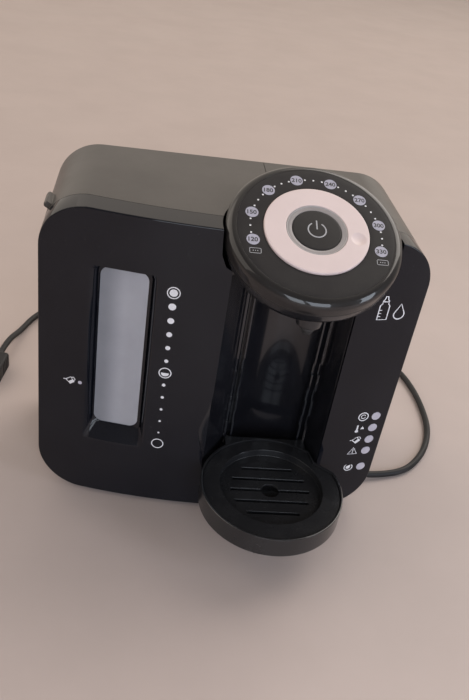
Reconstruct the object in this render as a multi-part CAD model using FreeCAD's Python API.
import FreeCAD, Part
import math
import os

# Formula dispenser: a free-standing machine that measures hot and filtered water into a baby bottle.
# Millimetres. Working frame: x to the right, y to the back, z up from the table; x = 0 is the middle
# of the front panel and y = 0 its foremost line. Every piece is moved to the row frame at export.

V = FreeCAD.Vector

# ---- casing -------------------------------------------------------------------------------------
body_width = 315.0
body_height = 285.0
body_depth = 158.7
foot_height = 4.0
corner_radius = 40.0
back_edge_radius = 3.0
wall = 2.5
skin = 3.0
panel_depth = 24.0
panel_edge_radius = 1.2
bow_radius = 610.0
bow_middle_x = 23.4
joint_gap = 0.6
lip_length = 5.0
lip_thickness = 1.7
fit_gap = 0.3

# ---- base plate and screws ----------------------------------------------------------------------
opening_half = 84.0
opening_front = 52.0
opening_back = 142.0
base_thickness = 3.0
base_lap = 9.0
screw_hole = 1.7
screw_head = 3.4
screw_sink = 1.6
foot_radius = 8.0

# ---- bottle bay ---------------------------------------------------------------------------------
bay_left = -7.0
bay_right = 100.0
bay_floor = 16.5
bay_flare = 8.0
bay_flare_height = 92.0
bay_flare_reach = 46.0
bay_back = 62.0
bay_mouth = 5.0
rail_y = 38.0
rail_spread = 39.0
rail_width = 7.5
rail_depth = 9.0
groove_width = 4.0
notch_pitch = 30.0
notch_height = 12.0
notch_depth = 3.0
head_mounts = ((-28.0, -8.0), (28.0, -8.0), (-20.0, 26.0), (20.0, 26.0))

# ---- head ---------------------------------------------------------------------------------------
head_x = 53.0
head_y = 7.5
head_z = 292.5
head_tilt = 25.1
head_radius = 69.6
head_gap = 2.0
shoulder_drop = 5.75
rim_drop = 14.0
bowl_drop = 32.0
bowl_floor_radius = 56.0
fascia_radius = 61.8
fascia_thickness = 3.0
head_wall = 2.5
ceiling_gap = 2.0
dial_radius = 41.4
dial_bore = 24.15
dial_rise = 1.6
dial_hub = 3.0
dial_hub_depth = 13.0
running_fit = 0.08
dimple_radius = 5.4
dimple_depth = 1.2
dimple_place = 32.8
dimple_angle = -9.2
ring_outer = 23.9
ring_inner = 19.6
button_radius = 19.3
button_rise = 1.4
button_travel = 1.5
board_drop = 17.0
board_radius = 44.0
board_thickness = 1.6
seam_place = 57.0
seam_angles = (45.0, 135.0, 225.0, 315.0)
boss_split = 18.0
board_post_place = 38.0
hose_port = 52.0
room_height = 60.0

# ---- bottle stand -------------------------------------------------------------------------------
stand_y = -30.0
stand_radius = 64.0
stand_rim = 62.0
stand_height = 18.6
stand_wall = 2.0
stand_clearance = 2.5
hook_drop = 8.0
blade_reach = 2.5
blade_half = 4.5
tongue_y = -3.0
tongue_rise = 6.0
grid_inset = 0.3
grid_sink = 1.2
grid_sheet = 2.0
grid_shift = 2.0
recess_radius = 46.5
recess_depth = 7.0
slot_pitch = 13.7
slot_width = 3.0
slot_margin = 10.5
drain_radius = 8.0

# ---- nozzle --------------------------------------------------------------------------------------
nozzle_y = stand_y + grid_shift
nozzle_low = 226.0
nozzle_top = 241.0
nozzle_boss = 10.0
nozzle_radius = 6.0

# ---- water tank, well, lid ----------------------------------------------------------------------
well_left = -152.0
well_right = -13.0
well_front = 34.0
well_back = 140.0
well_base = 46.0
well_top = 246.0
well_wall = 2.0
tank_clearance = 0.5
tank_behind = 2.5
tank_wall = 2.2
tank_top = 240.0
tank_corner = 10.0
outlet_x = -52.0
outlet_y = 87.0
lid_right = 27.5
lid_bottom = 249.0
lid_gap = 0.5
lid_clear_rises = (5.0, 10.0, 15.0, 20.0)
tab_y = 63.0
tab_length = 20.0
filter_radius = 27.0
filter_height = 62.0
valve_radius = 8.0
valve_low = 38.0
port_bore = 10.2
port_low = 30.0

# ---- pump, heater and hoses ----------------------------------------------------------------------
hose_bore = 2.4
hose_radius = 3.6
spout_grip = 6.0
port_spout_end = outlet_x + 20.5
pump_spout = 23.0
pump_spout_x = -84.0
pump_spout_out = 8.0
heater_spout = 8.0
pump_low = 19.0
pump_y = 88.0
pump_z = 27.0
pump_left = -136.0
pump_joint = -98.0
pump_right = -70.0
heater = (22.0, 86.0, 90.0, 130.0, 52.0, 132.0)
heater_in_x = 36.0
heater_out_x = 74.0
heater_y = 110.0
pump_head_radius = 16.0
rib_height = 2.0

# ---- level window -------------------------------------------------------------------------------
window_x = -90.0
window_half = 21.7
window_low = 80.0
window_high = 239.0
recess_side = 6.5
recess_low = 15.0
recess_high = 3.0
recess_set_back = 10.0
window_corner = 4.5
window_sheet = 2.2

# ---- lights on the panel ------------------------------------------------------------------------
light_x = 146.0
light_heights = (114.6, 101.0, 86.9, 73.1, 52.8)
light_radius = 4.4
light_depth = 9.0
low_light_x = -121.0
low_light_z = 126.0
low_light_radius = 1.7

# ---- boards --------------------------------------------------------------------------------------
board_x = 138.0
board_sheet = 1.6

# ---- supply cord --------------------------------------------------------------------------------
cord_radius = 3.4
gland = V(141.5, 48.0, 11.1)
gland_way = V(0.973, 0.155, -0.17)
gland_collar = 6.0
relief_length = 27.0
cord_height = 3.6
plug_end = V(-226.0, 218.0, 10.6)
plug_way = V(-0.13, -0.99, 0.0)
plug_width = 27.0
plug_thickness = 20.0
plug_length = 38.0
plug_start = 10.0
pin_radius = 2.4
pin_length = 19.0
pin_spread = 9.5
cord_turns = ((214.0, 66.0), (243.0, 84.5), (265.5, 108.0), (278.5, 140.0), (281.5, 178.0),
              (275.5, 217.0), (262.0, 254.0), (236.0, 284.0), (196.0, 306.0), (142.0, 322.0), (78.0, 322.0),
              (14.0, 316.0), (-50.0, 324.0), (-106.0, 340.0), (-152.0, 345.0), (-187.0, 334.0),
              (-204.0, 307.0), (-213.0, 277.0))

casing_low = foot_height
casing_top = foot_height + body_height
half_width = body_width / 2
inner_floor = foot_height + wall + base_thickness


# ---- small helpers ------------------------------------------------------------------------------
def box(x0, x1, y0, y1, z0, z1):
    return Part.makeBox(x1 - x0, y1 - y0, z1 - z0, V(x0, y0, z0))


def rod(start, way, radius, length):
    return Part.makeCylinder(radius, length, start, way)


def pipe(start, way, outer, inner, length):
    return rod(start, way, outer, length).cut(rod(start, way, inner, length))


def join(shapes):
    whole = shapes[0]
    for shape in shapes[1:]:
        whole = whole.fuse(shape)
    return whole.removeSplitter()


def group(shapes):
    return Part.makeCompound(shapes)


def rounded_outline(a0, a1, b0, b1, radius, place):
    """Closed wire of a rounded rectangle; place turns its two coordinates into a point."""
    k = radius * (1 - math.sqrt(0.5))
    corners = (((a1 - radius, b0), (a1 - k, b0 + k), (a1, b0 + radius)),
               ((a1, b1 - radius), (a1 - k, b1 - k), (a1 - radius, b1)),
               ((a0 + radius, b1), (a0 + k, b1 - k), (a0, b1 - radius)),
               ((a0, b0 + radius), (a0 + k, b0 + k), (a0 + radius, b0)))
    edges = []
    for i, (first, middle, last) in enumerate(corners):
        edges.append(Part.Arc(place(*first), place(*middle), place(*last)).toShape())
        edges.append(Part.LineSegment(place(*last), place(*corners[(i + 1) % 4][0])).toShape())
    return Part.Wire(edges)


def upright_block(x0, x1, y0, y1, z0, z1, radius):
    outline = rounded_outline(x0, x1, y0, y1, radius, lambda a, b: V(a, b, z0))
    return Part.Face(outline).extrude(V(0, 0, z1 - z0))


def body_block(inset, y0, y1):
    """The casing's outline, made smaller all round by inset, between two depths."""
    outline = rounded_outline(-half_width + inset, half_width - inset, casing_low + inset, casing_top - inset,
                              corner_radius - inset, lambda a, b: V(a, y0, b))
    return Part.Face(outline).extrude(V(0, y1 - y0, 0))


def behind_bow(offset):
    """All the space behind the bowed front surface, moved back by offset."""
    return Part.makeCylinder(bow_radius, casing_top + 80, V(bow_middle_x, bow_radius + offset, -40))


def front_at(x):
    return bow_radius - math.sqrt(bow_radius ** 2 - (x - bow_middle_x) ** 2)


def turned(profile):
    """Solid of revolution about the local z axis; profile is (radius, height) points, and a point
    given as (radius, height, 'mid') is the middle of an arc between its neighbours."""
    edges = []
    i = 0
    closed = list(profile) + [profile[0]]
    while i < len(closed) - 1:
        here = V(closed[i][0], 0, closed[i][1])
        step = closed[i + 1]
        if len(step) == 3:
            after = closed[i + 2]
            edges.append(Part.Arc(here, V(step[0], 0, step[1]), V(after[0], 0, after[1])).toShape())
            i += 2
        else:
            edges.append(Part.LineSegment(here, V(step[0], 0, step[1])).toShape())
            i += 1
    solid = Part.Face(Part.Wire(edges)).revolve(V(0, 0, 0), V(0, 0, 1), 360)
    return solid if solid.Volume > 0 else solid.reversed()


def in_head(shape):
    """Moves a shape from the head's own frame (z along the dial's axis) into the working frame."""
    shape = shape.copy()
    shape.rotate(V(0, 0, 0), V(1, 0, 0), head_tilt)
    shape.translate(V(head_x, head_y, head_z))
    return shape


def head_point(x, q, h):
    tilt = math.radians(head_tilt)
    return V(head_x + x, head_y + q * math.cos(tilt) - h * math.sin(tilt),
             head_z + q * math.sin(tilt) + h * math.cos(tilt))


def under_head(drop):
    """All the space more than drop below the head's face, measured along the dial's axis."""
    return in_head(box(-400, 400, -400, 400, -800, -drop))


def bent_run(points):
    """Straight runs joined by tangent arcs, each arc as large as its two runs allow."""
    edges = []
    here = points[0]
    radii = []
    for i in range(1, len(points) - 1):
        back = points[i - 1] - points[i]
        ahead = points[i + 1] - points[i]
        turn = math.pi - back.getAngle(ahead)
        reach = 0.45 * min(back.Length, ahead.Length)
        radii.append(reach / math.tan(turn / 2))
        back.normalize()
        ahead.normalize()
        start = points[i] + back * reach
        stop = points[i] + ahead * reach
        bisector = back + ahead
        bisector.normalize()
        inward = radii[-1] / math.cos(turn / 2) - radii[-1]
        edges.append(Part.LineSegment(here, start).toShape())
        edges.append(Part.Arc(start, points[i] + bisector * inward, stop).toShape())
        here = stop
    edges.append(Part.LineSegment(here, points[-1]).toShape())
    return Part.Wire(edges), radii


def swept(points, radius, label):
    path, radii = bent_run(points)
    way = points[1] - points[0]
    ring = Part.Wire(Part.makeCircle(radius, points[0], way))
    tube = path.makePipeShell([ring], True, False)
    ratio = tube.Volume / (math.pi * radius ** 2 * path.Length)
    print(f"{label}: length {path.Length:.1f}, volume ratio {ratio:.4f},"
          f" smallest radius {min(radii):.1f}, radii {[round(r) for r in radii]}")
    return tube


def coil_spring(middle, way, radius, wire, length, turns):
    """Open coil: a helix of round wire along way, starting at middle."""
    pitch = (length - 2 * wire) / turns
    helix = Part.makeHelix(pitch, length - 2 * wire, radius)
    ring = Part.Wire(Part.makeCircle(wire, V(radius, 0, 0), V(0, 1, 0)))
    spring = Part.Wire(helix).makePipeShell([ring], True, True)
    spring.translate(V(0, 0, wire))
    spring.Placement = FreeCAD.Placement(middle, FreeCAD.Rotation(V(0, 0, 1), way)).multiply(spring.Placement)
    return spring


# ---- casing pieces ------------------------------------------------------------------------------
def head_room():
    """Space that the casing leaves free around the head."""
    g = head_gap
    return in_head(turned(((0, -bowl_drop - g), (bowl_floor_radius + 3.5, -bowl_drop - g),
                           (head_radius - 1.1, -bowl_drop + 3), (head_radius + g, -bowl_drop + 12),
                           (head_radius + g, room_height), (0, room_height))))


def bay_opening():
    """The bottle bay's mouth in the panel; its left edge bulges outwards low down."""
    low = bay_flare_height - bay_flare_reach
    high = bay_flare_height + bay_flare_reach
    bulge = Part.BSplineCurve()
    points = [V(bay_left, -5, low), V(bay_left - bay_flare, -5, bay_flare_height), V(bay_left, -5, high)]
    bulge.interpolate(Points=points, InitialTangent=V(0, 0, 1), FinalTangent=V(0, 0, 1))
    mouth_top = head_z - 26
    corners = [V(bay_left, -5, high), V(bay_left, -5, mouth_top), V(bay_right, -5, mouth_top),
               V(bay_right, -5, bay_floor), V(bay_left, -5, bay_floor), V(bay_left, -5, low)]
    edges = [Part.LineSegment(corners[i], corners[i + 1]).toShape() for i in range(5)]
    face = Part.Face(Part.Wire([bulge.toShape()] + edges))
    return face.extrude(V(0, 60, 0))


def window_frame_place(shape):
    """Moves a shape from the window's own frame (y along the panel's normal there) into place."""
    shape = shape.copy()
    slope = math.degrees(math.asin((window_x - bow_middle_x) / bow_radius))
    shape.rotate(V(0, 0, 0), V(0, 0, 1), slope)
    shape.translate(V(window_x, front_at(window_x), 0))
    return shape


def window_funnel(grow, depth, ahead):
    """Tapered recess: from ahead of the panel's surface to depth behind it."""
    def outline(y):
        share = (recess_set_back - y) / recess_set_back
        return rounded_outline(-window_half - recess_side * share - grow,
                               window_half + recess_side * share + grow,
                               window_low - recess_low * share - grow,
                               window_high + recess_high * share + grow,
                               window_corner + grow, lambda a, b: V(a, y, b))
    return Part.makeLoft([outline(-ahead), outline(depth)], True, True)


def window_plate(grow, y0, y1):
    outline = rounded_outline(-window_half - grow, window_half + grow, window_low - grow, window_high + grow,
                              window_corner + grow, lambda a, b: V(a, y0, b))
    return Part.Face(outline).extrude(V(0, y1 - y0, 0))


def light_rods(radius, depth, proud):
    rods = []
    for z in light_heights:
        y = front_at(light_x)
        rods.append(rod(V(light_x, y - 5, z), V(0, 1, 0), radius, 5 + depth).common(behind_bow(-proud)))
    return rods


def low_light_rod(radius, depth, proud):
    y = front_at(low_light_x)
    return rod(V(low_light_x, y - 5, low_light_z), V(0, 1, 0), radius, 5 + depth).common(behind_bow(-proud))


def round_front_edge(shape, radius):
    """Rounds the long edge where the bowed front meets the casing's sides."""
    edges = []
    for edge in shape.Edges:
        middle = edge.valueAt((edge.FirstParameter + edge.LastParameter) / 2)
        on_front = abs(middle.y - front_at(middle.x)) < 0.05
        if on_front and edge.Length > 5:
            edges.append(edge)
    return shape.makeFillet(radius, edges)


def make_front_panel():
    shell = body_block(0, -1, 70).common(behind_bow(0)).cut(behind_bow(panel_depth))
    shell = round_front_edge(shell, panel_edge_radius)
    shell = shell.cut(body_block(wall, -1, 80).common(behind_bow(skin)))
    pocket = window_frame_place(window_funnel(skin - 0.5, recess_set_back + window_sheet, 0))
    shell = shell.fuse(pocket.common(behind_bow(0.5)))
    shell = shell.cut(window_frame_place(window_funnel(0, recess_set_back, 8)))
    shell = shell.cut(window_frame_place(window_plate(0, recess_set_back - 1, recess_set_back + 6)))
    shell = shell.cut(bay_opening()).cut(head_room())
    for hole in light_rods(light_radius + 0.1, 30, 10):
        shell = shell.cut(hole)
    return shell.cut(low_light_rod(low_light_radius + 0.1, 30, 10))


def make_level_window():
    plug = window_plate(-0.2, recess_set_back, recess_set_back + window_sheet)
    flange = window_plate(2.2, recess_set_back + window_sheet, recess_set_back + 2 * window_sheet)
    return window_frame_place(join([plug, flange]))


def casing_shell():
    """Rear casing as one wall, before the lid is parted from it."""
    outer = body_block(0, -1, body_depth)
    rear = [e for e in outer.Edges if abs(e.CenterOfMass.y - body_depth) < 0.01]
    outer = outer.makeFillet(back_edge_radius, rear)
    outer = outer.common(behind_bow(panel_depth + joint_gap))
    return outer.cut(body_block(wall, -2, body_depth - wall)).cut(head_room())


def lid_zone(gap):
    return box(-half_width - 10, lid_right + gap, -10, body_depth + 10, lid_bottom - gap, casing_top + 60)


def make_rear_housing():
    shell = casing_shell().cut(lid_zone(lid_gap))
    inside = body_block(wall, -1, 90).cut(body_block(wall + lip_thickness, -2, 91))
    ahead = body_block(wall + fit_gap, -1, 90).cut(body_block(wall + lip_thickness, -2, 91))
    start = panel_depth + joint_gap
    root_band = inside.common(behind_bow(start)).cut(behind_bow(start + lip_length))
    free_band = ahead.common(behind_bow(start - lip_length)).cut(behind_bow(start + 0.2))
    lip = root_band.fuse(free_band).cut(lid_zone(lid_gap)).cut(head_room())
    lip = lip.cut(box(bay_left - 30, bay_right + 30, -5, 60, casing_top - 60, casing_top))
    shell = shell.fuse(lip)
    shell = shell.cut(box(-opening_half, opening_half, opening_front, opening_back, casing_low - 1, casing_low + wall + 1))
    for x, y in base_screw_places():
        shell = shell.cut(rod(V(x, y, casing_low - 1), V(0, 0, 1), screw_hole, 10))
        shell = shell.cut(rod(V(x, y, casing_low - 1), V(0, 0, 1), screw_head + 0.2, 1 + screw_sink))
    shell = shell.cut(rod(gland - unit(gland_way) * 20, gland_way, gland_collar + 0.05, 40))
    return shell.removeSplitter()


def make_tank_lid():
    lid = casing_shell().common(lid_zone(0))
    for rise in lid_clear_rises:
        lid = lid.cut(head_room().translated(V(0, 0, -rise)))
    left = -half_width + wall
    skirt_x = box(left - 0.2, left + 1.6, 60, 150, lid_bottom + 1, lid_bottom + 8)
    tongue = box(left + fit_gap, left + 1.6, 60, 150, lid_bottom - 5, lid_bottom + 1.5)
    back = body_depth - wall
    skirt_y = box(-110, 10, back - 1.6, back + 0.2, lid_bottom + 1, lid_bottom + 8)
    tongue_y = box(-110, 10, back - 1.6, back - fit_gap, lid_bottom - 5, lid_bottom + 1.5)
    angle = math.radians(148)
    outward = V(math.cos(angle), 0, math.sin(angle))
    root = V(-half_width + corner_radius, tab_y, casing_top - corner_radius) + outward * (corner_radius - 1.5)
    tab = Part.makeBox(7.0, tab_length, 5.0, V(0, -tab_length / 2, -2.5))
    tips = [e for e in tab.Edges if abs(e.CenterOfMass.x - 7.0) < 0.01]
    tab = tab.makeFillet(2.2, tips)
    tab.Placement = FreeCAD.Placement(root, FreeCAD.Rotation(V(0, 1, 0), -math.degrees(angle)))
    return join([lid, skirt_x, tongue, skirt_y, tongue_y, tab])


def unit(way):
    copy = V(way)
    copy.normalize()
    return copy


def base_screw_places():
    x = opening_half + base_lap / 2
    return ((-x, opening_front + 8), (x, opening_front + 8), (-x, opening_back - 8), (x, opening_back - 8))


def make_base_plate():
    z = casing_low + wall
    plate = box(-opening_half - base_lap, opening_half + base_lap, opening_front - base_lap,
                opening_back + base_lap, z, z + base_thickness)
    for i in range(9):
        x = -32 + i * 8
        plate = plate.cut(box(x - 1.5, x + 1.5, 70, 120, z - 1, z + base_thickness + 1))
    for x, y in base_screw_places():
        plate = plate.cut(rod(V(x, y, z - 1), V(0, 0, 1), screw_hole - 0.3, base_thickness + 2))
    return plate


def make_base_screws():
    screws = []
    for x, y in base_screw_places():
        head = rod(V(x, y, casing_low + 0.1), V(0, 0, 1), screw_head, screw_sink - 0.15)
        shank = rod(V(x, y, casing_low + screw_sink - 0.1), V(0, 0, 1), screw_hole - 0.35, 6.5)
        screws.append(join([head, shank]))
    return group(screws)


def make_feet():
    feet = []
    for x in (-100.0, 100.0):
        for y in (47.0, 146.0):
            foot = Part.makeCone(foot_radius, foot_radius + 1, foot_height, V(x, y, 0))
            feet.append(foot)
    return group(feet)


# ---- bottle bay ---------------------------------------------------------------------------------
def bay_plan(grow, front):
    """Niche in plan: two walls that close in from the mouth and a round back."""
    left = head_x - rail_spread
    right = head_x + rail_spread
    a = V(bay_left - grow, front, 0)
    mouth_a = V(bay_left - grow, bay_mouth, 0)
    b = V(left - grow, rail_y, 0)
    c = V(head_x, bay_back + grow, 0)
    d = V(right + grow, rail_y, 0)
    mouth_e = V(bay_right + grow, bay_mouth, 0)
    e = V(bay_right + grow, front, 0)
    edges = [Part.LineSegment(a, mouth_a).toShape(), Part.LineSegment(mouth_a, b).toShape(),
             Part.Arc(b, c, d).toShape(), Part.LineSegment(d, mouth_e).toShape(),
             Part.LineSegment(mouth_e, e).toShape(), Part.LineSegment(e, a).toShape()]
    return Part.Face(Part.Wire(edges))


def raised(face, z0, z1):
    lifted = face.copy()
    lifted.translate(V(0, 0, z0))
    return lifted.extrude(V(0, 0, z1 - z0))


def rail(side):
    """One notched column; side is -1 on the left and 1 on the right."""
    outer = head_x + side * (rail_spread + 0.5)
    inner = head_x + side * (rail_spread - rail_width)
    low = min(outer, inner)
    column = box(low, low + rail_width + 0.5, rail_y - 2, rail_y - 2 + rail_depth, bay_floor - 1, head_z)
    middle = head_x + side * hook_place()
    column = column.cut(box(middle - groove_width / 2, middle + groove_width / 2, rail_y - 3,
                            rail_y - 2 + rail_depth - 1.0, 0, head_z + 1))
    for i in range(5):
        z = stand_rim - hook_drop + (i - 1) * notch_pitch
        column = column.cut(box(low - 1, low + rail_width + 2, rail_y - 3, rail_y - 2 + notch_depth,
                                z - notch_height / 2, z + notch_height / 2))
    return column


def hook_place():
    return rail_spread - rail_width / 2


def make_bay_liner():
    ceiling = bowl_drop + ceiling_gap
    outer = raised(bay_plan(wall, 0), bay_floor - wall, head_z).common(under_head(ceiling))
    outer = outer.common(behind_bow(skin + 0.2))
    inner = raised(bay_plan(0, -20), bay_floor, head_z).common(under_head(ceiling + wall))
    flange = box(bay_left - bay_flare - 5, bay_right + 5, 0, 30, bay_floor - wall, head_z - 45)
    flange = flange.common(behind_bow(skin + 0.2)).cut(behind_bow(skin + 0.2 + wall))
    liner = outer.fuse(flange).cut(inner)
    rails = group([rail(-1), rail(1)]).common(raised(bay_plan(1.0, 0), 0, head_z)).common(under_head(ceiling + 1))
    liner = join([liner, rails])
    for x, q in head_mounts:
        boss = in_head(rod(V(x, q, -ceiling - 0.5), V(0, 0, 1), 5.0, ceiling_gap + 0.5))
        liner = liner.fuse(boss)
        liner = liner.cut(in_head(rod(V(x, q, -ceiling - 10), V(0, 0, 1), 1.75, 20)))
    return liner.removeSplitter()


def make_head_mount_screws():
    screws = []
    for x, q in head_mounts:
        low = -(bowl_drop + ceiling_gap + wall)
        head = rod(V(x, q, low - 2.0), V(0, 0, 1), 3.2, 2.0)
        shank = rod(V(x, q, low - 0.1), V(0, 0, 1), 1.4, 12.0)
        screws.append(in_head(join([head, shank])))
    return group(screws)


# ---- head ---------------------------------------------------------------------------------------


def around(radius, angle):
    return radius * math.cos(math.radians(angle)), radius * math.sin(math.radians(angle))


def bowl_outside():
    return ((0, -bowl_drop), (bowl_floor_radius, -bowl_drop), (64.3, -28.6, "mid"), (head_radius - 2.2, -21.0),
            (head_radius - 1.0, -rim_drop - 0.6))


def make_head_upper_shell():
    inner = head_radius - head_wall - 0.2
    ring = turned(((fascia_radius + 0.2, 0), (67.9, -1.7, "mid"), (head_radius, -shoulder_drop),
                   (head_radius, -rim_drop), (inner, -rim_drop), (inner, -shoulder_drop - 1.5),
                   (fascia_radius, -fascia_thickness - head_wall), (55.0, -fascia_thickness - head_wall),
                   (55.0, -fascia_thickness), (fascia_radius + 0.2, -fascia_thickness)))
    for angle in seam_angles:
        x, q = around(seam_place, angle)
        boss = rod(V(x, q, -boss_split), V(0, 0, 1), 3.6, boss_split - fascia_thickness - 0.5)
        ring = ring.fuse(boss).cut(rod(V(x, q, -boss_split - 1), V(0, 0, 1), 1.35, boss_split - 6))
    return in_head(ring.removeSplitter())


def make_head_lower_shell():
    outside = bowl_outside()
    spigot = head_radius - head_wall - 0.2 - fit_gap
    profile = outside + ((spigot, -rim_drop - 0.6), (spigot, -9.5), (spigot - 2.2, -9.5), (spigot - 2.2, -20.5),
                         (61.6, -26.2, "mid"), (bowl_floor_radius - 1, -bowl_drop + head_wall),
                         (0, -bowl_drop + head_wall))
    bowl = turned(profile)
    solid = turned(outside + ((0, -rim_drop - 0.6),))
    for angle in seam_angles:
        x, q = around(seam_place, angle)
        boss = rod(V(x, q, -bowl_drop), V(0, 0, 1), 4.4, bowl_drop - boss_split).common(solid)
        bowl = bowl.fuse(boss)
    for angle in (0.0, 180.0):
        x, q = around(board_post_place, angle)
        bowl = bowl.fuse(rod(V(x, q, -bowl_drop + 1), V(0, 0, 1), 3.0,
                             bowl_drop - 1 - board_drop - board_thickness))
    for x, q in head_mounts:
        bowl = bowl.fuse(rod(V(x, q, -bowl_drop + 0.5), V(0, 0, 1), 3.4, 8.5))
        bowl = bowl.cut(rod(V(x, q, -bowl_drop - 1), V(0, 0, 1), 1.45, 10.5))
    for angle in seam_angles:
        x, q = around(seam_place, angle)
        bowl = bowl.cut(rod(V(x, q, -bowl_drop - 3), V(0, 0, 1), 2.9, 8.0))
        bowl = bowl.cut(rod(V(x, q, -bowl_drop - 3), V(0, 0, 1), 1.35, 20.0))
    bowl = bowl.cut(rod(V(0, hose_port, -bowl_drop - 3), V(0, 0, 1), 6.0, 8.0))
    shell = in_head(bowl)
    tower = rod(V(head_x, nozzle_y, nozzle_low + 5), V(0, 0, 1), nozzle_boss, 40).common(under_head(bowl_drop - 3))
    drilling = rod(V(head_x, nozzle_y, nozzle_low - 5), V(0, 0, 1), nozzle_radius + 0.05, 60)
    return shell.fuse(tower).cut(drilling).removeSplitter()


def make_nozzle():
    body = Part.makeCone(3.2, nozzle_radius, 5.0, V(head_x, nozzle_y, nozzle_low - 3))
    stem = rod(V(head_x, nozzle_y, nozzle_low + 2), V(0, 0, 1), nozzle_radius, nozzle_top - nozzle_low - 2)
    spout = rod(V(head_x, nozzle_y, nozzle_top - 1), V(0, 0, 1), hose_bore, 5.0)
    bore = rod(V(head_x, nozzle_y, nozzle_low - 6), V(0, 0, 1), 1.4, 40)
    return join([body, stem, spout]).cut(bore)


def make_head_screws():
    screws = []
    for angle in seam_angles:
        x, q = around(seam_place, angle)
        head = rod(V(x, q, -bowl_drop + 2.8), V(0, 0, 1), 2.6, 2.2)
        shank = rod(V(x, q, -bowl_drop + 4.9), V(0, 0, 1), 1.25, 17.0)
        screws.append(in_head(join([head, shank])))
    return group(screws)


def make_dial_fascia():
    bore = dial_radius + fit_gap
    return in_head(turned(((bore, 0), (fascia_radius, 0), (fascia_radius, -fascia_thickness),
                           (bore + 3, -fascia_thickness), (bore + 3, -8.0), (29.5, -8.0), (29.5, -6.0),
                           (bore, -6.0))))


def make_volume_dial():
    hub = dial_bore + dial_hub
    dial = turned(((dial_bore, dial_rise), (dial_radius - 1.0, dial_rise), (dial_radius - 0.3, dial_rise - 0.3, "mid"),
                   (dial_radius, dial_rise - 1.0), (dial_radius, -4.5), (hub, -4.5), (hub, -dial_hub_depth),
                   (dial_bore, -dial_hub_depth)))
    ball = (dimple_radius ** 2 + dimple_depth ** 2) / (2 * dimple_depth)
    x, q = around(dimple_place, dimple_angle)
    dial = dial.cut(Part.makeSphere(ball, V(x, q, dial_rise - dimple_depth + ball)))
    return in_head(dial)


def make_encoder_ring():
    hub = dial_bore + dial_hub
    ring = turned(((hub, -9.0), (33.0, -9.0), (33.0, -11.0), (hub, -11.0)))
    for i in range(24):
        x, q = around(31.0, i * 15)
        slot = Part.makeBox(3.0, 1.2, 4.0, V(-1.5, -0.6, -12.0))
        slot.rotate(V(0, 0, 0), V(0, 0, 1), i * 15)
        slot.translate(V(x, q, 0))
        ring = ring.cut(slot)
    return in_head(ring)


def make_guide_post():
    outer = dial_bore - running_fit
    return in_head(turned(((ring_inner, -2.6), (outer, -2.6), (outer, -14.5), (30.0, -14.5),
                           (30.0, -board_drop), (6.5, -board_drop), (6.5, -14.5), (ring_inner, -14.5))))


def make_light_ring():
    return in_head(turned(((ring_inner, 0.7), (ring_inner + 0.3, 1.0), (ring_outer - 0.3, 1.0), (ring_outer, 0.7),
                           (ring_outer, -2.6), (ring_inner, -2.6))))


def make_power_button():
    cap = turned(((0, button_rise), (button_radius * 0.6, button_rise - 0.12, "mid"),
                  (button_radius - 0.8, button_rise - 0.4),
                  (button_radius, button_rise - 1.2), (button_radius, -3.0), (4.0, -3.0), (4.0, -13.2), (0, -13.2)))
    return in_head(cap)


def make_button_spring():
    middle = head_point(0, 0, -14.4)
    return coil_spring(middle, head_point(0, 0, 0) - middle, 6.0, 0.45, 11.3, 5)


def make_dial_board():
    board = rod(V(0, 0, -board_drop - board_thickness), V(0, 0, 1), board_radius, board_thickness)
    return in_head(board)


def make_dial_electronics():
    """Button switch, dial sensor and two small chips on the head's board."""
    z = -board_drop
    switch = box(-3, 3, -3, 3, z, z + 1.9)
    sensor = box(30.5, 36, -4, 4, z, z + 5.2)
    chip = box(-38, -31.5, -5, 5, z, z + 1.6)
    link = box(-6, 6, 33, 39, z, z + 4.0)
    return group([in_head(s) for s in (switch, sensor, chip, link)])


# ---- bottle stand -------------------------------------------------------------------------------
def stand_plan(inset):
    """Round dish with a tongue that reaches into the bay, drawn in by inset."""
    centre = V(head_x, stand_y, 0)
    dish = Part.Face(Part.Wire(Part.makeCircle(stand_radius - inset, centre)))
    hook = hook_place() + groove_width / 2 + 1
    tongue = Part.makePlane(2 * (hook - inset), 60 - inset, V(head_x - hook + inset, rail_y - 64, 0))
    g = stand_clearance
    left = bay_left + g
    right = bay_right - g
    sides = [V(-60, -140, 0), V(180, -140, 0), V(180, -70, 0), V(right + 19, -11.5, 0), V(right, 4, 0),
             V(head_x + hook, rail_y - 4, 0), V(head_x - hook, rail_y - 4, 0), V(left, 1, 0),
             V(left - 6, -6, 0), V(-60, -60, 0)]
    limit = Part.Face(Part.makePolygon(sides + sides[:1]))
    if inset > 0:
        limit = limit.makeOffset2D(-inset)
    return dish.fuse(tongue).common(limit)


def plan_solid(plan, z0, z1):
    solids = [raised(face, z0, z1) for face in plan.Faces]
    return join(solids)


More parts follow.
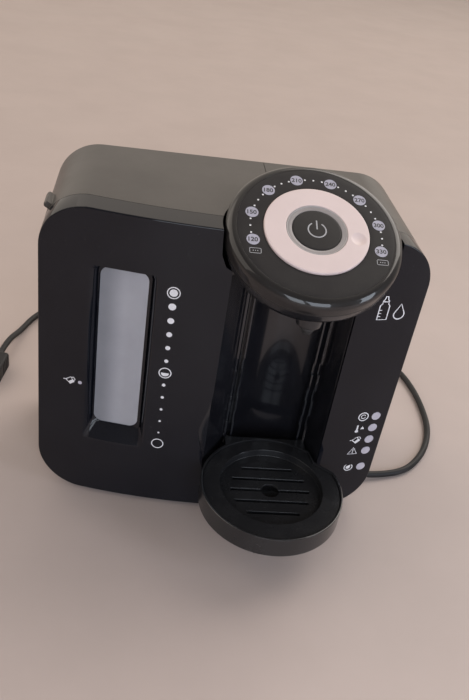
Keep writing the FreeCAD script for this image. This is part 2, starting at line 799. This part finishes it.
def make_bottle_stand():
    low = stand_rim - stand_height
    dish = plan_solid(stand_plan(0), low, stand_rim)
    round_hole = rod(V(head_x, stand_y, low), V(0, 0, 1), stand_radius - stand_wall, 60)
    seat = plan_solid(stand_plan(stand_wall), stand_rim - grid_sink - grid_sheet, stand_rim + 5).common(round_hole)
    sump = plan_solid(stand_plan(stand_wall + 2.2), low + stand_wall, stand_rim + 5)
    ledge_hole = rod(V(head_x, stand_y, low), V(0, 0, 1), stand_radius - stand_wall - 2.2, 60)
    step = box(-60, 180, tongue_y - stand_wall, 80, low - 1, low + tongue_rise + stand_wall)
    dish = dish.cut(seat).cut(sump.common(ledge_hole).cut(step))
    dish = dish.cut(box(-60, 180, tongue_y, 80, low - 1, low + tongue_rise))
    for side in (-1, 1):
        middle = head_x + side * hook_place()
        half = groove_width / 2 - fit_gap
        blade = box(middle - half, middle + half, rail_y - 8, rail_y + blade_reach,
                    stand_rim - hook_drop - blade_half, stand_rim - hook_drop + blade_half)
        dish = dish.fuse(blade)
    return dish.removeSplitter()


def make_drip_grid():
    """Lift-out insert: flat collar, round recess for the bottle, slotted floor."""
    top = stand_rim - grid_sink
    clear = stand_wall + grid_inset
    inside = rod(V(head_x, stand_y, top - 20), V(0, 0, 1), stand_radius - clear, 40)
    collar = plan_solid(stand_plan(clear), top - grid_sheet, top).common(inside)
    middle = V(head_x, stand_y + grid_shift, top - recess_depth - grid_sheet)
    cup = rod(middle, V(0, 0, 1), recess_radius + grid_sheet, recess_depth + grid_sheet)
    grid = collar.fuse(cup).cut(rod(middle + V(0, 0, grid_sheet), V(0, 0, 1), recess_radius, 30))
    reach = recess_radius - slot_margin
    for i in range(-2, 3):
        y = i * slot_pitch
        half = math.sqrt(reach ** 2 - y ** 2)
        grid = grid.cut(box(head_x - half, head_x + half, middle.y + y - slot_width / 2,
                            middle.y + y + slot_width / 2, middle.z - 1, middle.z + 5))
    grid = grid.cut(rod(middle - V(0, 0, 1), V(0, 0, 1), drain_radius, 10))
    return grid.removeSplitter()


# ---- tank, valve and filter ---------------------------------------------------------------------


def make_tank_well():
    well = box(well_left, well_right, well_front, well_back, well_base, well_top)
    well = well.cut(box(well_left + well_wall, well_right - well_wall, well_front + well_wall,
                        well_back - well_wall, well_base + well_wall, well_top + 1))
    well = well.cut(box(window_x - window_half, window_x + window_half, well_front - 1,
                        well_front + well_wall + 1, window_low + 4, window_high - 4))
    well = well.cut(rod(V(outlet_x, outlet_y, well_base - 1), V(0, 0, 1), valve_radius + 1.0, 5))
    for x, y in ((-84.0, 47.0), (-30.0, 47.0), (-78.0, 136.0), (-50.0, 136.0)):
        well = well.fuse(rod(V(x, y, inner_floor), V(0, 0, 1), 3.5, well_base - inner_floor + 0.5))
    return well.removeSplitter()


def make_water_tank():
    c = tank_clearance
    x0, x1 = well_left + well_wall + c, well_right - well_wall - c
    y0, y1 = well_front + well_wall + c, well_back - well_wall - c
    base = well_base + well_wall
    t = tank_wall
    tank = upright_block(x0, x1, y0, y1, base, tank_top, tank_corner).common(behind_bow(panel_depth + tank_behind))
    hollow = upright_block(x0 + t, x1 - t, y0 + t, y1 - t, base + t, tank_top + 1, tank_corner - t)
    tank = tank.cut(hollow.common(behind_bow(panel_depth + tank_behind + t)))
    return tank.cut(rod(V(outlet_x, outlet_y, base - 1), V(0, 0, 1), valve_radius, 6))


def make_tank_valve():
    floor = well_base + well_wall + tank_wall
    body = rod(V(outlet_x, outlet_y, valve_low), V(0, 0, 1), valve_radius, floor - valve_low)
    flange = rod(V(outlet_x, outlet_y, floor), V(0, 0, 1), 12.0, 2.0)
    body = join([body, flange])
    body = body.cut(rod(V(outlet_x, outlet_y, valve_low - 1), V(0, 0, 1), 3.4, 5))
    body = body.cut(rod(V(outlet_x, outlet_y, valve_low + 2), V(0, 0, 1), 5.6, floor + 4 - valve_low))
    bridge = box(outlet_x - 1.5, outlet_x + 1.5, outlet_y - 6.5, outlet_y + 6.5, floor + 0.8, floor + 2.0)
    return join([body, bridge])


def make_valve_plunger():
    base = V(outlet_x, outlet_y, valve_low + 2.3)
    disc = rod(base, V(0, 0, 1), 5.2, 1.6)
    stem = rod(V(outlet_x, outlet_y, valve_low - 1.4), V(0, 0, 1), 2.0, 8.5)
    return join([disc, stem])


def make_valve_spring():
    low = valve_low + 4.0
    top = well_base + well_wall + tank_wall + 0.7
    return coil_spring(V(outlet_x, outlet_y, low), V(0, 0, 1), 3.6, 0.35, top - low, 4)


def make_docking_port():
    top = well_base
    cup = rod(V(outlet_x, outlet_y, port_low), V(0, 0, 1), port_bore + 1.6, top - port_low)
    flange = rod(V(outlet_x, outlet_y, top - 2), V(0, 0, 1), 15.0, 2.0)
    cup = join([cup, flange]).cut(rod(V(outlet_x, outlet_y, port_low + 2), V(0, 0, 1), port_bore, 20))
    pin = rod(V(outlet_x, outlet_y, port_low + 1.5), V(0, 0, 1), 1.2, valve_low - 2.0 - port_low - 1.5)
    spout = rod(V(outlet_x + port_bore + 0.5, outlet_y, port_low + 5), V(1, 0, 0), hose_bore,
                port_spout_end - outlet_x - port_bore - 0.5)
    channel = rod(V(outlet_x + port_bore - 2, outlet_y, port_low + 5), V(1, 0, 0), 1.2, 16)
    return join([cup, pin, spout]).cut(channel)


def make_port_seal():
    middle = (port_bore + valve_radius) / 2
    return Part.makeTorus(middle, (port_bore - valve_radius) / 2 - 0.05, V(outlet_x, outlet_y, valve_low + 3.5))


def make_filter_holder():
    low = well_base + well_wall + tank_wall
    holder = rod(V(outlet_x, outlet_y, low), V(0, 0, 1), filter_radius, filter_height)
    holder = holder.cut(rod(V(outlet_x, outlet_y, low + 4), V(0, 0, 1), filter_radius - 1.8, filter_height))
    holder = holder.cut(rod(V(outlet_x, outlet_y, low - 1), V(0, 0, 1), 13.0, 10))
    for i in range(8):
        slit = box(-2.5, 2.5, 0, filter_radius + 2, low + 10, low + filter_height - 18)
        slit.rotate(V(0, 0, 0), V(0, 0, 1), i * 45)
        slit.translate(V(outlet_x, outlet_y, 0))
        holder = holder.cut(slit)
    return holder


def filter_roof():
    return well_base + well_wall + tank_wall + filter_height


def make_filter_cartridge():
    low = well_base + well_wall + tank_wall + 4
    length = filter_roof() - low - 2
    body = rod(V(outlet_x, outlet_y, low), V(0, 0, 1), filter_radius - 2.6, length)
    groove = pipe(V(outlet_x, outlet_y, low + length - 8), V(0, 0, 1), filter_radius, filter_radius - 4.2, 2.5)
    return body.cut(groove)


def make_filter_cap():
    roof = filter_roof()
    disc = rod(V(outlet_x, outlet_y, roof + 0.3), V(0, 0, 1), filter_radius + 2.0, 2.4)
    skirt = pipe(V(outlet_x, outlet_y, roof - 6), V(0, 0, 1), filter_radius + 2.0, filter_radius + running_fit, 6.4)
    grip = box(outlet_x - 18, outlet_x + 18, outlet_y - 2, outlet_y + 2, roof + 2.6, roof + 11)
    return join([disc, skirt, grip])


# ---- water path ---------------------------------------------------------------------------------


def make_pump_motor():
    can = rod(V(pump_left, pump_y, pump_z), V(1, 0, 0), 13.5, pump_joint - pump_left)
    boss = rod(V(pump_left - 2, pump_y, pump_z), V(1, 0, 0), 4.0, 2.5)
    return join([can, boss])


def make_pump_head():
    body = rod(V(pump_joint, pump_y, pump_z), V(1, 0, 0), pump_head_radius, pump_right - pump_joint)
    inlet = rod(V(pump_spout_x, pump_y, pump_z), V(0, 1, 0), hose_bore, pump_spout)
    outlet = rod(V(pump_right - 2, pump_y, pump_low), V(1, 0, 0), hose_bore, pump_spout_out + 2)
    return join([body, inlet, outlet])


def make_pump_saddle():
    x = pump_spout_x
    block = box(x - 6, x + 6, pump_y - 15, pump_y + 15, inner_floor, pump_z)
    return block.cut(rod(V(x - 10, pump_y, pump_z), V(1, 0, 0), pump_head_radius + 0.05, 20))


def make_heater():
    x0, x1, y0, y1, z0, z1 = heater
    block = upright_block(x0, x1, y0, y1, z0, z1, 8)
    for i in range(6):
        z = z0 + 12 + i * 10
        rib = upright_block(x0 - rib_height, x1 + rib_height, y0 - rib_height, y1 + rib_height, z, z + 3, 9)
        block = block.fuse(rib)
    inlet = rod(V(heater_in_x, heater_y, z0 - heater_spout), V(0, 0, 1), hose_bore, heater_spout + 1)
    outlet = rod(V(heater_out_x, heater_y, z1 - 1), V(0, 0, 1), hose_bore, 5)
    return join([block, inlet, outlet])


def make_heater_bracket():
    x0, x1, y0, y1, z0, z1 = heater
    foot = box(50, 82, y0, y1, inner_floor, inner_floor + 2)
    stalk = box(58, 74, y1 - 8, y1 - 4, inner_floor + 1.5, z0)
    front = box(58, 74, y0 + 4, y0 + 8, inner_floor + 1.5, z0)
    return join([foot, stalk, front])


def make_thermal_cutouts():
    x0, x1, y0, y1, z0, z1 = heater
    block = upright_block(x0 - 3, x1 + 3, y0 - rib_height, y1 + 3, z0, z1, 9)
    return group([rod(V(x, y0, z1 - 12), V(0, -1, 0), 6.0, 5.0).cut(block) for x in (x0 + 22, x0 + 42)])


def make_flow_valve():
    z1 = heater[5] + 4
    body = box(heater_out_x - 9, heater_out_x + 9, heater_y - 9, heater_y + 9, z1, z1 + 16)
    coil = rod(V(heater_out_x + 9, heater_y, z1 + 8), V(1, 0, 0), 9.0, 20)
    spout = rod(V(heater_out_x, heater_y, z1 + 15), V(0, 0, 1), hose_bore, 9)
    return join([body, coil, spout])


def valve_spout_top():
    return heater[5] + 4 + 24


def hollow_hose(points, label):
    """Hose that slips over a spout at each end; the first and last points are on the spouts."""
    outer = swept(points, hose_radius, label)
    return outer.cut(bent_run(points)[0].makePipeShell(
        [Part.Wire(Part.makeCircle(hose_bore + running_fit, points[0], points[1] - points[0]))], True, False))


def make_inlet_hose():
    x, z = port_spout_end - spout_grip, port_low + 5
    end = pump_y + pump_spout - spout_grip
    return hollow_hose([V(x, outlet_y, z), V(x + 24, outlet_y, z), V(x + 31, outlet_y + 20, z - 2),
                        V(x + 13, outlet_y + 37, z - 4), V(x - 18, outlet_y + 40, pump_z),
                        V(-70, outlet_y + 39, pump_z), V(pump_spout_x, outlet_y + 36, pump_z),
                        V(pump_spout_x, end, pump_z)], "inlet hose")


def make_delivery_hose():
    z0 = heater[4]
    x = pump_right + pump_spout_out - spout_grip
    return hollow_hose([V(x, pump_y, pump_low), V(x + 30, pump_y, pump_low), V(-6, pump_y + 4, pump_low - 1),
                        V(18, pump_y + 11, pump_low - 1), V(heater_in_x, heater_y, pump_low + 1),
                        V(heater_in_x, heater_y, z0 - heater_spout + spout_grip)], "delivery hose")


def make_outlet_hose():
    low = valve_spout_top() - spout_grip
    stretch = head_point(0, 0, -25.2)
    along = head_point(0, 1, -25.2) - stretch
    return hollow_hose([V(heater_out_x, heater_y, low), V(heater_out_x, heater_y, low + 34),
                        V(66, 103, 226), V(head_x + 1, 87, 262), head_point(0, hose_port, -22.6),
                        stretch + along * 26, stretch + along * -30,
                        V(head_x, nozzle_y, nozzle_top + 9.0), V(head_x, nozzle_y, nozzle_top + 0.2)], "outlet hose")


# ---- electrics ----------------------------------------------------------------------------------


def make_control_board():
    return box(board_x, board_x + board_sheet, 56, 146, 66, 216)


def board_posts_places():
    return ((62.0, 72.0), (62.0, 210.0), (140.0, 72.0), (140.0, 210.0))


def make_board_posts():
    posts = []
    for y, z in board_posts_places():
        posts.append(rod(V(board_x + board_sheet, y, z), V(1, 0, 0), 3.0,
                         half_width - wall - board_x - board_sheet))
    return group(posts)


def make_board_components():
    x = board_x
    return group([box(x - 22, x, 70, 104, 80, 112), box(x - 15, x, 112, 138, 84, 104),
                  rod(V(x, 78, 134), V(-1, 0, 0), 8.0, 20), rod(V(x, 100, 134), V(-1, 0, 0), 6.5, 16),
                  box(x - 12, x, 116, 132, 122, 150), box(x - 2.2, x, 70, 86, 164, 180),
                  box(x - 8, x, 100, 136, 190, 200)])


def make_terminal_block():
    return box(60, 84, 134, 148, inner_floor, inner_floor + 14)


def indicator_board_y():
    return front_at(light_x) + light_depth + 5


def make_indicator_board():
    y = indicator_board_y()
    return box(light_x - 14, light_x + 5.5, y, y + board_sheet, light_heights[-1] - 10, light_heights[0] + 10)


def make_indicator_leds():
    y = indicator_board_y()
    return group([rod(V(light_x, y, z), V(0, -1, 0), 2.5, 4.0) for z in light_heights])


# ---- supply cord --------------------------------------------------------------------------------
def make_cord_gland():
    way = unit(gland_way)
    collar = rod(gland - way * 14, way, gland_collar, 18)
    taper = Part.makeCone(gland_collar - 0.6, cord_radius + 0.7, relief_length - 3.5, gland + way * 3.5, way)
    relief = join([collar, taper])
    bore = rod(gland - way * 20, way, cord_radius - 0.4, 20 + relief_length - 6)
    for i in range(4):
        place = gland + way * (8 + i * 4.4)
        for side in (-1, 1):
            sideways = way.cross(V(0, 0, 1))
            notch = rod(place + sideways * side * 5.4 - V(0, 0, 8), V(0, 0, 1), 1.0, 16)
            relief = relief.cut(notch)
    return relief.cut(bore)


def cord_points():
    way = unit(gland_way)
    points = [gland + way * relief_length, gland + way * (relief_length + 17.1)]
    for x, y in cord_turns:
        points.append(V(x, y, cord_height))
    return points + [plug_end - unit(plug_way) * 27, plug_end]


def make_power_cord():
    return swept(cord_points(), cord_radius, "power cord")


def plug_block(length, width, height, start):
    block = Part.makeBox(length, width, height, V(start, -width / 2, -height / 2))
    edges = [e for e in block.Edges]
    return block.makeFillet(4.0, edges)


def in_plug(shape):
    shape = shape.copy()
    turn = FreeCAD.Rotation(V(1, 0, 0), plug_way)
    shape.Placement = FreeCAD.Placement(plug_end, turn).multiply(shape.Placement)
    return shape


def make_plug():
    relief = Part.makeCone(cord_radius + 0.9, 6.5, plug_start + 4, V(0, 0, 0), V(1, 0, 0))
    body = plug_block(plug_length, plug_width, plug_thickness, plug_start)
    plug = join([relief, body])
    for side in (-1, 1):
        for i in range(4):
            groove = rod(V(plug_start + 8 + i * 5.0, side * (plug_width / 2 + 0.6), -20), V(0, 0, 1), 1.4, 40)
            plug = plug.cut(groove)
    for side in (-1, 1):
        plug = plug.cut(rod(V(plug_start + plug_length - 12, side * pin_spread, 0), V(1, 0, 0), pin_radius, 20))
    return in_plug(plug)


def make_plug_pins():
    pins = []
    for side in (-1, 1):
        start = V(plug_start + plug_length - 12, side * pin_spread, 0)
        pin = rod(start, V(1, 0, 0), pin_radius, 12 + pin_length - pin_radius)
        tip = Part.makeSphere(pin_radius, start + V(12 + pin_length - pin_radius, 0, 0))
        pins.append(in_plug(join([pin, tip])))
    return group(pins)


# ---- every node ---------------------------------------------------------------------------------
makers = {
    "front_panel": make_front_panel,
    "rear_housing": make_rear_housing,
    "tank_lid": make_tank_lid,
    "base_plate": make_base_plate,
    "base_screws": make_base_screws,
    "rubber_feet": make_feet,
    "bay_liner": make_bay_liner,
    "head_mount_screws": make_head_mount_screws,
    "level_window": make_level_window,
    "indicator_lenses": lambda: group(light_rods(light_radius, light_depth, 0.3)),
    "low_water_lens": lambda: low_light_rod(low_light_radius, light_depth, 0.2),
    "indicator_board": make_indicator_board,
    "indicator_leds": make_indicator_leds,
    "head_upper_shell": make_head_upper_shell,
    "head_lower_shell": make_head_lower_shell,
    "head_screws": make_head_screws,
    "nozzle": make_nozzle,
    "dial_fascia": make_dial_fascia,
    "volume_dial": make_volume_dial,
    "encoder_ring": make_encoder_ring,
    "guide_post": make_guide_post,
    "light_ring": make_light_ring,
    "power_button": make_power_button,
    "button_spring": make_button_spring,
    "dial_board": make_dial_board,
    "dial_electronics": make_dial_electronics,
    "bottle_stand": make_bottle_stand,
    "drip_grid": make_drip_grid,
    "tank_well": make_tank_well,
    "water_tank": make_water_tank,
    "tank_valve": make_tank_valve,
    "valve_plunger": make_valve_plunger,
    "valve_spring": make_valve_spring,
    "docking_port": make_docking_port,
    "port_seal": make_port_seal,
    "filter_holder": make_filter_holder,
    "filter_cartridge": make_filter_cartridge,
    "filter_cap": make_filter_cap,
    "pump_motor": make_pump_motor,
    "pump_head": make_pump_head,
    "pump_saddle": make_pump_saddle,
    "heater": make_heater,
    "heater_bracket": make_heater_bracket,
    "thermal_cutouts": make_thermal_cutouts,
    "flow_valve": make_flow_valve,
    "inlet_hose": make_inlet_hose,
    "delivery_hose": make_delivery_hose,
    "outlet_hose": make_outlet_hose,
    "control_board": make_control_board,
    "board_posts": make_board_posts,
    "board_components": make_board_components,
    "terminal_block": make_terminal_block,
    "cord_gland": make_cord_gland,
    "power_cord": make_power_cord,
    "plug": make_plug,
    "plug_pins": make_plug_pins,
}


def row_shift():
    """The row's origin is under the middle of the object's box, without its cord."""
    front = stand_y - stand_radius
    return V(0, -(front + body_depth) / 2, 0)


def main():
    os.makedirs("parts", exist_ok=True)
    shift = row_shift()
    for node, maker in makers.items():
        shape = maker()
        shape.translate(shift)
        shape.exportStep("parts/" + node + ".step")
        box_of = shape.BoundBox
        print(f"{node}: solids {len(shape.Solids)}, valid {shape.isValid()}, volume {shape.Volume / 1000:.2f} cm3,"
              f" x {box_of.XMin:.1f} {box_of.XMax:.1f} y {box_of.YMin:.1f} {box_of.YMax:.1f}"
              f" z {box_of.ZMin:.1f} {box_of.ZMax:.1f}")
    print("row shift", tuple(shift))


main()
